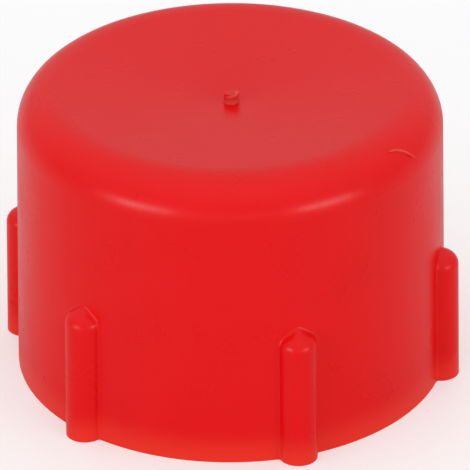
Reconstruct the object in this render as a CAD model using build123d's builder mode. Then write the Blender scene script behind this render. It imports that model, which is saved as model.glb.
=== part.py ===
"""Threaded protection cap for a 1 inch pipe thread (G 1), moulded in one piece of soft polyethylene.

Millimetres, +Z up. The origin is the middle of the mouth, in the plane of the rim, so the cap
stands on its rim with its closed top upwards. The first grip rib points along +X.
"""

import os
from math import cos, radians, sin, tan

from build123d import *

# ---------------------------------------------------------------- driving dimensions
# internal thread, Whitworth form with flat roots and crests
thread_diameter = 33.25  # over the crests of the pipe end that the cap screws onto
thread_pitch = 2.309  # 11 turns to the inch
thread_angle = 55.0  # between the flanks
thread_clearance = 0.08  # radial play against the pipe's thread
thread_depth = 1.125  # from the crests of the pipe's thread to those of the cap's own
thread_length = 19.0  # rim to the end of the groove

# mouth
lead_in_margin = 0.325  # of the cone at the rim, beyond the crests of the pipe's thread
lead_in_angle = 45.0
rim_wall = 2.05  # behind the root of the thread, at the rim

# shell
height = 26.2  # rim to the highest ring of the top
outer_draft = 1.1  # degrees the outside leans in
top_wall = 1.7
top_rounding = 3.5  # of the edge between wall and top
dish_angle = 6.0  # degrees the top falls towards its middle
corner_chamfer = 1.6  # inside, between bore and ceiling

# gate stub in the middle of the dish
gate_diameter = 1.2
gate_height = 0.9
gate_draft = 5.0

# grip ribs, half-round with a blunt conical nose
rib_count = 6
rib_height = 12.6  # rim to the tip of the nose
rib_radius = 1.65
rib_sink = 0.1  # how deep the rib's axis lies under the wall
rib_nose_angle = 34.0  # degrees the nose falls outwards
rib_shoulder_rounding = 1.2
rib_root_rounding = 0.25

# ---------------------------------------------------------------- derived sizes
flank_slope = tan(radians(thread_angle / 2))
sharp_height = thread_pitch / 2 / flank_slope  # of the thread's triangle, before its tips are cut
pitch_radius = thread_diameter / 2 - sharp_height / 3 + thread_clearance
root_radius = thread_diameter / 2 + thread_clearance
bore_radius = thread_diameter / 2 - thread_depth
lead_in_radius = thread_diameter / 2 + lead_in_margin
lead_in_depth = (lead_in_radius - bore_radius) / tan(radians(lead_in_angle))
rim_radius = root_radius + rim_wall
lean = radians(outer_draft)
dish = radians(dish_angle)


def wall_radius(z):
    """Radius of the drafted outside at height z."""
    return rim_radius - z * tan(lean)


def groove_half_width(radius):
    """Half the width of the thread groove at a radius. At the pitch radius it is half the pitch wide."""
    return thread_pitch / 4 + (pitch_radius - radius) * flank_slope


# ---------------------------------------------------------------- one grip rib, at +X
# a rod with a pointed end, which leans in with the wall and is cut off at the rim
rod_height = rib_height / cos(lean)
shoulder_z = rod_height - rib_radius * tan(radians(rib_nose_angle))

with BuildPart() as rod:
    with BuildSketch(Plane.XZ):
        with BuildLine():
            FilletPolyline(
                (-rib_radius, -rib_radius),
                (-rib_radius, shoulder_z),
                (0, rod_height),
                radius=rib_shoulder_rounding,
            )
            Polyline((0, rod_height), (0, -rib_radius), (-rib_radius, -rib_radius))
        make_face()
    revolve(axis=Axis.Z)

with BuildPart() as rib:
    with Locations(Location((rim_radius - rib_sink, 0, 0), (0, -outer_draft, 0))):
        add(rod.part)
    split(bisect_by=Plane.XY)

# ---------------------------------------------------------------- the cap
# the rounding's centre and its ends on the wall and on the dished top, as radius and height
rounding_z = height - top_rounding
rounding_radius = wall_radius(rounding_z) - top_rounding / cos(lean)
wall_end = (rounding_radius + top_rounding * cos(lean), rounding_z + top_rounding * sin(lean))
dish_rim = (rounding_radius - top_rounding * sin(dish), rounding_z + top_rounding * cos(dish))
dish_bottom_z = dish_rim[1] - dish_rim[0] * tan(dish)


def ceiling_z(radius):
    """Height of the ceiling, which follows the dish one wall below it."""
    return dish_bottom_z - top_wall + radius * tan(dish)


with BuildPart() as cap:
    # outside, with a dished top
    with BuildSketch(Plane.XZ):
        with BuildLine():
            wall = Line((rim_radius, 0), wall_end)
            TangentArc(wall @ 1, dish_rim, tangent=wall % 1)
            Polyline(dish_rim, (0, dish_bottom_z), (0, 0), (rim_radius, 0))
        make_face()
    revolve(axis=Axis.Z)

    # gate stub, torn off a little above the dish
    with BuildSketch(Plane.XY.offset(dish_bottom_z - top_wall / 2)):
        Circle(gate_diameter / 2)
    extrude(amount=top_wall / 2 + gate_height, taper=gate_draft)

    # grip ribs, blended into the wall
    with PolarLocations(0, rib_count):
        add(rib.part)
    fillet(cap.edges(Select.NEW).filter_by(Plane.XY, reverse=True), rib_root_rounding)

    # bore with its lead-in, dished like the top
    with BuildSketch(Plane.XZ):
        with BuildLine():
            Polyline(
                (0, 0),
                (lead_in_radius, 0),
                (bore_radius, lead_in_depth),
                (bore_radius, ceiling_z(bore_radius) - corner_chamfer),
                (bore_radius - corner_chamfer, ceiling_z(bore_radius - corner_chamfer)),
                (0, ceiling_z(0)),
                close=True,
            )
        make_face()
    revolve(axis=Axis.Z, mode=Mode.SUBTRACT)

    # thread groove, running out through the mouth
    groove_mouth_radius = bore_radius - sharp_height / 4
    with BuildLine():
        turns = Helix(
            thread_pitch,
            thread_length + thread_pitch,
            pitch_radius,
            center=(0, 0, -thread_pitch),
        )
    with BuildSketch(Plane(turns @ 0, x_dir=(1, 0, 0), z_dir=turns % 0)):
        with BuildLine():
            Polyline(
                (groove_mouth_radius - pitch_radius, -groove_half_width(groove_mouth_radius)),
                (root_radius - pitch_radius, -groove_half_width(root_radius)),
                (root_radius - pitch_radius, groove_half_width(root_radius)),
                (groove_mouth_radius - pitch_radius, groove_half_width(groove_mouth_radius)),
                close=True,
            )
        make_face()
    sweep(path=turns, is_frenet=True, mode=Mode.SUBTRACT)

cap.part.label = "threaded_cap"

os.makedirs("parts", exist_ok=True)
export_step(cap.part, "parts/threaded_cap.step")
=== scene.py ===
# %% [markdown]
# # Threaded protection cap
# A screw-on cap that closes a pipe end and keeps its thread clean until the pipe is used. It is
# moulded in one shot from soft red polyethylene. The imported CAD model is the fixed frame: it has
# the true shell, the dished top, the half-round grip ribs and the inside thread. This scene adds
# the plastic, the marks that moulding and handling leave, and the studio.

# %% Load the frame
from math import cos, radians, sin

import bpy
from mathutils import Matrix, Vector


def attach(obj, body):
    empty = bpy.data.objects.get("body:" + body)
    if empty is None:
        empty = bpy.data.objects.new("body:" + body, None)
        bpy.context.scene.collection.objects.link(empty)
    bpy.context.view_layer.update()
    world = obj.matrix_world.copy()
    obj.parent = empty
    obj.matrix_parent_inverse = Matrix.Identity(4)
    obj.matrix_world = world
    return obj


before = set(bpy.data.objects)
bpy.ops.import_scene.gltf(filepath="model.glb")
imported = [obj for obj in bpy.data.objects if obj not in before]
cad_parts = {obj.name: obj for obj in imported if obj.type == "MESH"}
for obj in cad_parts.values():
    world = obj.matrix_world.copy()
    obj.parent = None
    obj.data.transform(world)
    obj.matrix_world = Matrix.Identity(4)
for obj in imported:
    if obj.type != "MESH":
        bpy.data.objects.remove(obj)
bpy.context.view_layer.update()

MM = 0.001
scene = bpy.context.scene
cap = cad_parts["threaded_cap"]

# %% [markdown]
# ## Camera
# A product shot of a small part: a very long lens not quite half a metre away, looking down on the
# part at about thirty degrees, so that the top, the wall and four of the grip ribs show. The long
# lens keeps the rim nearly an ellipse. The camera is aimed at a point inside the cap, then turned a
# trace about its own axis.

# %% Directions round the cap
def direction(azimuth, elevation):
    """Unit vector from the cap, by azimuth (0 is -Y, 90 is +X) and elevation, both in degrees."""
    a, e = radians(azimuth), radians(elevation)
    return Vector((sin(a) * cos(e), -cos(a) * cos(e), sin(e)))


def facing(back):
    """Rotation of a camera or lamp that looks the opposite way to back and is held upright."""
    right = Vector((0, 0, 1)).cross(back).normalized()
    return Matrix((right, back.cross(right), back)).transposed()


# %% Camera at the viewing angle
CAMERA_AZIMUTH = 12.4
CAMERA_ELEVATION = 29.67
CAMERA_DISTANCE = 443.1 * MM
CAMERA_ROLL = -0.375
CAMERA_LENS = 390.7
AIM_HEIGHT = 13.0 * MM
AIM_RIGHT = 0.367 * MM
AIM_UP = -1.262 * MM

upright = facing(direction(CAMERA_AZIMUTH, CAMERA_ELEVATION))
roll = Matrix.Rotation(radians(CAMERA_ROLL), 3, "Z")
camera_data = bpy.data.cameras.new("camera")
camera_data.lens = CAMERA_LENS
camera = bpy.data.objects.new("camera", camera_data)
scene.collection.objects.link(camera)
camera.rotation_mode = "QUATERNION"
camera.rotation_quaternion = (upright @ roll).to_quaternion()
aim = Vector((0, 0, AIM_HEIGHT))
camera.location = aim + upright @ Vector((AIM_RIGHT, AIM_UP, CAMERA_DISTANCE))
scene.camera = camera
print("camera at", [round(v, 4) for v in camera.location])

# %% [markdown]
# ## Shader helpers
# One function adds a node with its settings and links, and one turns a colour code into the linear
# values that the shaders work with. Two more add the nodes that both kinds of plastic use.

# %% Nodes and colours
def node(tree, kind, settings=None, inputs=None):
    """Adds one shader node. An input is a value, or a (node, output) pair that is linked."""
    made = tree.nodes.new(kind)
    for key, value in (settings or {}).items():
        setattr(made, key, value)
    for key, value in (inputs or {}).items():
        if isinstance(value, tuple) and isinstance(value[0], bpy.types.Node):
            tree.links.new(value[0].outputs[value[1]], made.inputs[key])
        else:
            made.inputs[key].default_value = value
    return made


def linear(code):
    """The linear RGBA colour of an sRGB hex code."""
    channels = [int(code[i : i + 2], 16) / 255 for i in (0, 2, 4)]
    return [c / 12.92 if c <= 0.04045 else ((c + 0.055) / 1.055) ** 2.4 for c in channels] + [1.0]


def empty_tree(owner):
    """The cleared node tree of a material or world."""
    owner.use_nodes = True
    owner.node_tree.nodes.clear()
    return owner.node_tree


def noise(tree, place, size, detail, roughness):
    """Noise on the object's own coordinates, with lumps of about a size in metres."""
    inputs = {
        "Vector": (place, "Object"),
        "Scale": 1 / size,
        "Detail": detail,
        "Roughness": roughness,
    }
    return node(tree, "ShaderNodeTexNoise", inputs=inputs)


def blend(tree, factor, first, second):
    """A colour between two others."""
    inputs = {"Factor": factor, "A": first, "B": second}
    return node(tree, "ShaderNodeMix", {"data_type": "RGBA"}, inputs)


# %% [markdown]
# ## Studio
# The cap stands on a flat pale paper floor under a white ceiling that is brightest overhead, so the
# top and the wall get about the same light. Three low soft boxes stand on the table, left, right
# and in front. The side ones shine back as the soft light along the rounded edge and on the noses
# of the ribs, and the front one only lifts the wall a little.

# %% White room
ROOM_LOW = 0.42  # strength at table height
ROOM_HIGH = 1.15  # and straight overhead

room_world = bpy.data.worlds.new("white_room")
scene.world = room_world
tree = empty_tree(room_world)
path = node(tree, "ShaderNodeLightPath")
heading = node(tree, "ShaderNodeTexCoord")
height = node(tree, "ShaderNodeSeparateXYZ", inputs={0: (heading, "Generated")})
strength = node(
    tree,
    "ShaderNodeMapRange",
    inputs={"Value": (height, "Z"), "To Min": ROOM_LOW, "To Max": ROOM_HIGH},
)
white = linear("ffffff")
room = node(tree, "ShaderNodeBackground", inputs={"Color": white, "Strength": (strength, 0)})
backdrop = node(tree, "ShaderNodeBackground", inputs={"Color": white, "Strength": 1.0})
seen = node(
    tree,
    "ShaderNodeMixShader",
    inputs={0: (path, "Is Camera Ray"), 1: (room, 0), 2: (backdrop, 0)},
)
node(tree, "ShaderNodeOutputWorld", inputs={"Surface": (seen, 0)})
print("room strength", ROOM_LOW, "to", ROOM_HIGH)

# %% Paper floor
FLOOR_SIZE = 4.0
PAPER = "d4d4d4"
PAPER_LIFT = 0.35  # added where the camera sees the paper, so that it is white outside the shadow

bpy.ops.object.select_all(action="DESELECT")
bpy.ops.mesh.primitive_plane_add(size=FLOOR_SIZE, location=(0, 0, 0))
floor = bpy.context.object
floor.name = "floor"
paper = bpy.data.materials.new("matt_white_paper")
tree = empty_tree(paper)
path = node(tree, "ShaderNodeLightPath")
sheet = node(tree, "ShaderNodeBsdfDiffuse", inputs={"Color": linear(PAPER)})
glow = node(tree, "ShaderNodeEmission", inputs={"Color": white, "Strength": PAPER_LIFT})
lift = node(tree, "ShaderNodeMixShader", inputs={0: (path, "Is Camera Ray"), 2: (glow, 0)})
lit = node(tree, "ShaderNodeAddShader", inputs={0: (sheet, 0), 1: (lift, 0)})
node(tree, "ShaderNodeOutputMaterial", inputs={"Surface": (lit, 0)})
floor.data.materials.append(paper)
print("floor", FLOOR_SIZE, "m across")

# %% Soft boxes
BOX_DISTANCE = 0.40
BOX_ELEVATION = 5.0  # low, so that their light comes in level
BOX_HEIGHT = 0.06


def soft_box(name, turned, width, power):
    """A low area lamp aimed at the cap, turned round it from the camera by an angle in degrees."""
    data = bpy.data.lights.new(name, "AREA")
    data.shape = "RECTANGLE"
    data.size, data.size_y = width, BOX_HEIGHT
    data.energy = power
    lamp = bpy.data.objects.new(name, data)
    scene.collection.objects.link(lamp)
    towards = direction(CAMERA_AZIMUTH + turned, BOX_ELEVATION)
    lamp.rotation_mode = "QUATERNION"
    lamp.rotation_quaternion = facing(towards).to_quaternion()
    lamp.location = aim + towards * BOX_DISTANCE
    print(name, "at", [round(v, 3) for v in lamp.location])


soft_box("left_box", turned=-46, width=0.22, power=0.40)
soft_box("front_box", turned=0, width=0.28, power=0.05)
soft_box("right_box", turned=48, width=0.20, power=0.34)

# %% [markdown]
# ## Red polyethylene
# Low-density polyethylene is coloured through with pigment, so wear and tears show the same red,
# only paler where the plastic was stretched. The cavity was spark eroded, and the wall took its
# fine pebbled grain: up close the sheen breaks into specks. Soft plastic also lets a little light
# in below the surface, most where the wall is thin at the mouth. That glow is painted light: the
# colour is painted paler and a trace more orange in a band at the lip.

# %% Moulded polyethylene
POLYETHYLENE_IOR = 1.51
MOULDED_SHEEN = 0.22
GRAIN = 0.26 * MM  # real sparks leave about 0.05 mm, too fine to show
GRAIN_DEPTH = 0.012 * MM
PATCH = 4.5 * MM  # of stronger and weaker gloss
PATCH_RANGE = (0.3, 0.7)  # where most of the noise lies
ROUGHNESS_RANGE = (0.26, 0.34)
# Painted light: the band at the mouth is painted paler and more orange for light shining through
# the thin wall.
PAINTED_GLOW_HEIGHT = 3.2 * MM  # of the paler band at the mouth
PAINTED_GLOW_SHARE = 0.7  # of the band's colour at the very rim
PAINTED_GLOW_RED = "ee3a28"
DEEP_RED = "df0308"
CLEAR_RED = "e4060c"

polyethylene = bpy.data.materials.new("moulded_red_polyethylene")
tree = empty_tree(polyethylene)
place = node(tree, "ShaderNodeTexCoord")
split = node(tree, "ShaderNodeSeparateXYZ", inputs={0: (place, "Object")})
# Painted light: towards the rim the colour turns to the painted glow red, standing in for light
# through the thin wall.
painted_glow_band = node(
    tree,
    "ShaderNodeMapRange",
    {"interpolation_type": "SMOOTHSTEP"},
    {
        "Value": (split, "Z"),
        "From Min": 0.0,
        "From Max": PAINTED_GLOW_HEIGHT,
        "To Min": PAINTED_GLOW_SHARE,
        "To Max": 0.0,
    },
)
patches = noise(tree, place, PATCH, detail=3.0, roughness=0.55)
pigment = blend(tree, (patches, "Fac"), linear(DEEP_RED), linear(CLEAR_RED))
body = blend(tree, (painted_glow_band, 0), (pigment, 2), linear(PAINTED_GLOW_RED))
gloss = node(
    tree,
    "ShaderNodeMapRange",
    inputs={
        "Value": (patches, "Fac"),
        "From Min": PATCH_RANGE[0],
        "From Max": PATCH_RANGE[1],
        "To Min": ROUGHNESS_RANGE[0],
        "To Max": ROUGHNESS_RANGE[1],
    },
)
grain = noise(tree, place, GRAIN, detail=2.0, roughness=0.5)
pebbles = node(
    tree,
    "ShaderNodeBump",
    inputs={"Height": (grain, "Fac"), "Strength": 0.5, "Distance": GRAIN_DEPTH},
)
plastic = node(
    tree,
    "ShaderNodeBsdfPrincipled",
    inputs={
        "Base Color": (body, 2),
        "Roughness": (gloss, 0),
        "Normal": (pebbles, 0),
        "IOR": POLYETHYLENE_IOR,
        "Specular IOR Level": MOULDED_SHEEN,
    },
)
node(tree, "ShaderNodeOutputMaterial", inputs={"Surface": (plastic, 0)})

cap.data.materials.clear()
cap.data.materials.append(polyethylene)
print("cap:", len(cap.data.polygons), "faces")

# %% Stretched polyethylene
FIBRE = 0.35 * MM
RIDGE_DEPTH = 0.05 * MM
TORN_ROUGHNESS = 0.4
TORN_SHEEN = 0.3
TORN_RED = "d80c12"
STRETCHED_RED = "ec5048"

torn_polyethylene = bpy.data.materials.new("torn_red_polyethylene")
tree = empty_tree(torn_polyethylene)
place = node(tree, "ShaderNodeTexCoord")
fibres = noise(tree, place, FIBRE, detail=3.0, roughness=0.6)
stretched = blend(tree, (fibres, "Fac"), linear(TORN_RED), linear(STRETCHED_RED))
ridges = node(
    tree,
    "ShaderNodeBump",
    inputs={"Height": (fibres, "Fac"), "Strength": 0.6, "Distance": RIDGE_DEPTH},
)
torn = node(
    tree,
    "ShaderNodeBsdfPrincipled",
    inputs={
        "Base Color": (stretched, 2),
        "Normal": (ridges, 0),
        "Roughness": TORN_ROUGHNESS,
        "IOR": POLYETHYLENE_IOR,
        "Specular IOR Level": TORN_SHEEN,
    },
)
node(tree, "ShaderNodeOutputMaterial", inputs={"Surface": (torn, 0)})
print("materials:", polyethylene.name, torn_polyethylene.name)

# %% [markdown]
# ## Torn gate
# The plastic was shot into the cavity through a pin-sized gate in the middle of the top. When the
# mould opened, the sprue tore off and left a stub with a ragged end, leaning to one side and
# pinched below its head. It is modelled from a cylinder: cut into rings, the rings scaled and moved
# one by one, the end inset, tilted and roughened.

# %% Working on one piece
def begin(add, **settings):
    """Adds a primitive with nothing else selected and opens it in edit mode."""
    bpy.ops.object.select_all(action="DESELECT")
    add(**settings)
    bpy.ops.object.mode_set(mode="EDIT")
    return bpy.context.object


def select_where(piece, test):
    """Selects, in edit mode, the vertices whose place passes the test."""
    bpy.ops.mesh.select_all(action="DESELECT")
    bpy.ops.mesh.select_mode(type="VERT")
    bpy.ops.object.mode_set(mode="OBJECT")
    for vertex in piece.data.vertices:
        vertex.select = test(piece.matrix_world @ vertex.co)
    bpy.ops.object.mode_set(mode="EDIT")


def finish_piece(piece, name, material, levels=0):
    """Smooths a piece, puts its place in its mesh, and gives it its finish, name and body."""
    bpy.ops.mesh.select_all(action="SELECT")
    bpy.ops.mesh.normals_make_consistent(inside=False)
    bpy.ops.object.mode_set(mode="OBJECT")
    bpy.ops.object.transform_apply(location=True, rotation=True, scale=True)
    if levels:
        smooth = piece.modifiers.new("smooth", "SUBSURF")
        smooth.levels = smooth.render_levels = levels
        bpy.ops.object.modifier_apply(modifier=smooth.name)
    bpy.ops.object.shade_smooth()
    piece.name = piece.data.name = name
    piece.data.materials.clear()
    piece.data.materials.append(material)
    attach(piece, "root")
    corner = [round(v / MM, 2) for v in piece.bound_box[0]]
    print(name, len(piece.data.polygons), "faces, lowest corner in mm", *corner)


# %% Gate stub with a torn head
STUB_PLACE = (0.12 * MM, 0.0)
STUB_SIDES = 14
STUB_RADIUS = 0.66 * MM
STUB_BASE = 24.55 * MM
STUB_HEIGHT = 1.02 * MM
# share of the height, width and sideways shift in mm of each ring
FOOT = (0.0, 1.3, 0.0)
NECK = ((0.34, 1.0, 0.0), (0.62, 0.86, 0.04), (0.86, 1.06, 0.12))
HEAD = (1.0, 0.8, 0.2)
RING_TOLERANCE = 0.01 * MM
HEAD_START = 0.98
HEAD_INSET = 0.16 * MM
HEAD_DENT = (0.05 * MM, 0.02 * MM, -0.14 * MM)
LEAN_START = 0.55
LEAN_PIVOT = 0.7
LEAN_ANGLE = 14
RAGGED = 0.1 * MM


def stub_z(share):
    """Height above the table at a share of the stub's height."""
    return STUB_BASE + share * STUB_HEIGHT


stub = begin(
    bpy.ops.mesh.primitive_cylinder_add,
    vertices=STUB_SIDES,
    radius=STUB_RADIUS,
    depth=STUB_HEIGHT,
    location=(*STUB_PLACE, STUB_BASE + STUB_HEIGHT / 2),
)
for share, _, _ in reversed(NECK):
    bpy.ops.mesh.select_all(action="SELECT")
    bpy.ops.mesh.bisect(plane_co=(0, 0, stub_z(share)), plane_no=(0, 0, 1), threshold=1e-6)
for share, width, sideways in (FOOT, *NECK, HEAD):
    ring_z = stub_z(share)
    select_where(stub, lambda p: abs(p.z - ring_z) < RING_TOLERANCE)
    bpy.ops.transform.resize(value=(width, width, 1), center_override=(*STUB_PLACE, ring_z))
    bpy.ops.transform.translate(value=(sideways * MM, 0, 0))
select_where(stub, lambda p: p.z > stub_z(HEAD_START))
bpy.ops.mesh.select_mode(type="FACE")
bpy.ops.mesh.inset(thickness=HEAD_INSET)
bpy.ops.transform.translate(value=HEAD_DENT)
select_where(stub, lambda p: p.z > stub_z(LEAN_START))
bpy.ops.transform.rotate(
    value=radians(LEAN_ANGLE),
    orient_axis="Y",
    center_override=(*STUB_PLACE, stub_z(LEAN_PIVOT)),
)
bpy.ops.transform.vertex_random(offset=RAGGED, uniform=0.3, seed=7)
finish_piece(stub, "torn_gate_stub", torn_polyethylene, levels=2)

# %% [markdown]
# ## Crescent nick
# Something scraped the rounded edge and rolled up a thin crescent of plastic. A ball is flattened
# to a sliver, bent over its length, and laid on the rounding with half its thickness sunk in.

# %% Where the nick lies
NICK_AZIMUTH = 68.3  # degrees, counted as the camera's
NICK_ELEVATION = 45.0  # of the surface's direction there
NICK_RADIUS = 17.35 * MM  # from the cap's axis
NICK_HEIGHT = 25.13 * MM
NICK_CHORD = (2.0, 1.71, -1.28)  # from one tip towards the other
NICK_LENGTH = 3.0 * MM
NICK_WIDTH = 0.24 * MM
NICK_THICKNESS = 0.26 * MM
NICK_BEND = -61.0

outwards = direction(NICK_AZIMUTH, NICK_ELEVATION)
nick_place = direction(NICK_AZIMUTH, 0) * NICK_RADIUS + Vector((0, 0, NICK_HEIGHT))
chord = Vector(NICK_CHORD)
chord = (chord - outwards * chord.dot(outwards)).normalized()
nick_axes = Matrix((chord, outwards.cross(chord), outwards)).transposed()
print("nick at", [round(v / MM, 2) for v in nick_place])

# %% Sliver of plastic
nick = begin(bpy.ops.mesh.primitive_uv_sphere_add, segments=32, ring_count=12, radius=0.5)
bpy.ops.transform.rotate(value=radians(90), orient_axis="Y", center_override=(0, 0, 0))
bpy.ops.transform.resize(
    value=(NICK_LENGTH, NICK_WIDTH, NICK_THICKNESS),
    center_override=(0, 0, 0),
)
bpy.ops.object.mode_set(mode="OBJECT")
curl = nick.modifiers.new("curl", "SIMPLE_DEFORM")
curl.deform_method = "BEND"
curl.deform_axis = "Z"
curl.angle = radians(NICK_BEND)
bpy.ops.object.modifier_apply(modifier=curl.name)
nick.matrix_world = Matrix.Translation(nick_place) @ nick_axes.to_4x4()
bpy.ops.object.mode_set(mode="EDIT")
finish_piece(nick, "crescent_nick", torn_polyethylene)

# %% [markdown]
# ## Colour management
# The scene is shown through the Standard view transform.

# %% Colour management
scene.view_settings.view_transform = "Standard"
